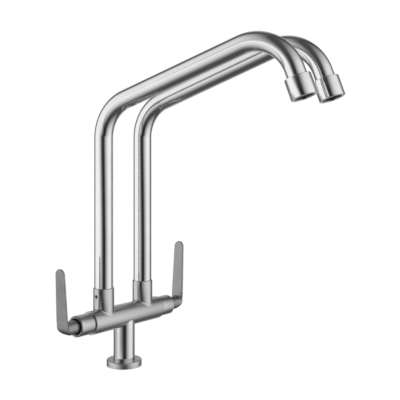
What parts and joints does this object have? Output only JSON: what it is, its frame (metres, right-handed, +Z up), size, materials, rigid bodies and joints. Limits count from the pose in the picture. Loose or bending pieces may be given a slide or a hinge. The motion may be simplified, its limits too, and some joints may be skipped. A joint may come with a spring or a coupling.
{
  "type": "double-spout pillar tap",
  "caption": "Deck-mounted pillar tap: an inlet pillar and flange carry a round bar body with swivelling swan-neck spouts and quarter-turn levers at its ends.",
  "frame": {"origin": "on the deck's top surface, on the axis of the inlet pillar", "axes": "+Z up along the pillar, X along the bar body, -Y towards the user, where the spouts reach"},
  "size_m": [0.2051, 0.2827, 0.4363],
  "materials": {
    "bar_steel": "fine brushed stainless steel, lines along the bar and up the sockets",
    "lever_steel": "satin stainless steel with a fine bead-blasted grain",
    "flange_steel": "turned stainless steel, half bright, fine ring lines",
    "polished_steel": "mirror-polished stainless steel tube and caps",
    "plain_steel": "plain mill-finish stainless sheet and spring steel",
    "screw_steel": "dark oiled steel screws",
    "brass": "machined brass, turned finish",
    "rubber": "black moulded rubber, matte",
    "disc_ceramic": "lapped white ceramic",
    "washer_plastic": "white low-friction plastic",
    "insert_plastic": "grey moulded plastic",
    "screen_steel": "thin pierced stainless screen"
  },
  "bodies": {
    "tap_body": {"bar_body": "bar_steel", "pillar_tube": "polished_steel", "deck_flange": "flange_steel", "deck_gasket": "rubber", "threaded_tail": "brass", "under_deck_washer": "rubber", "backing_washer": "plain_steel", "backnut": "brass", "valve_body_left": "plain_steel", "valve_body_right": "plain_steel", "body_seal_left": "rubber", "body_seal_right": "rubber", "seat_seal_left": "rubber", "seat_seal_right": "rubber", "fixed_disc_left": "disc_ceramic", "fixed_disc_right": "disc_ceramic", "end_sleeve_left": "bar_steel", "end_sleeve_right": "bar_steel", "swivel_washer_left": "washer_plastic", "swivel_washer_right": "washer_plastic", "lock_screw_left": "screw_steel", "lock_screw_right": "screw_steel"},
    "left_lever": {"turning_disc_left": "disc_ceramic", "spindle_left": "brass", "spindle_seals_left": "rubber", "spindle_clip_left": "plain_steel", "lever_left": "lever_steel", "lever_screw_left": "screw_steel"},
    "right_lever": {"turning_disc_right": "disc_ceramic", "spindle_right": "brass", "spindle_seals_right": "rubber", "spindle_clip_right": "plain_steel", "lever_right": "lever_steel", "lever_screw_right": "screw_steel"},
    "left_spout": {"spout_tube_left": "polished_steel", "swivel_ferrule_left": "brass", "swivel_seals_left": "rubber", "outlet_collar_left": "brass", "outlet_washer_left": "rubber", "aerator_insert_left": "insert_plastic", "aerator_mesh_left": "screen_steel", "aerator_cap_left": "polished_steel"},
    "right_spout": {"spout_tube_right": "polished_steel", "swivel_ferrule_right": "brass", "swivel_seals_right": "rubber", "outlet_collar_right": "brass", "outlet_washer_right": "rubber", "aerator_insert_right": "insert_plastic", "aerator_mesh_right": "screen_steel", "aerator_cap_right": "polished_steel"}
  },
  "joints": [
    {"name": "left_spout_swivel", "type": "hinge", "parent": "tap_body", "child": "left_spout", "pos_m": [-0.033, 0.001, 0.09], "axis": [0, 0, 1], "range_deg": [-190.1, 0.4]},
    {"name": "right_spout_swivel", "type": "hinge", "parent": "tap_body", "child": "right_spout", "pos_m": [0.033, 0.001, 0.09], "axis": [0, 0, 1], "range_deg": [-4.5, 173]},
    {"name": "left_lever_turn", "type": "hinge", "parent": "tap_body", "child": "left_lever", "pos_m": [-0.085, 0, 0.06], "axis": [1, 0, 0], "range_deg": [0, 90]},
    {"name": "right_lever_turn", "type": "hinge", "parent": "tap_body", "child": "right_lever", "pos_m": [0.085, 0, 0.06], "axis": [1, 0, 0], "range_deg": [0, 90]}
  ]
}
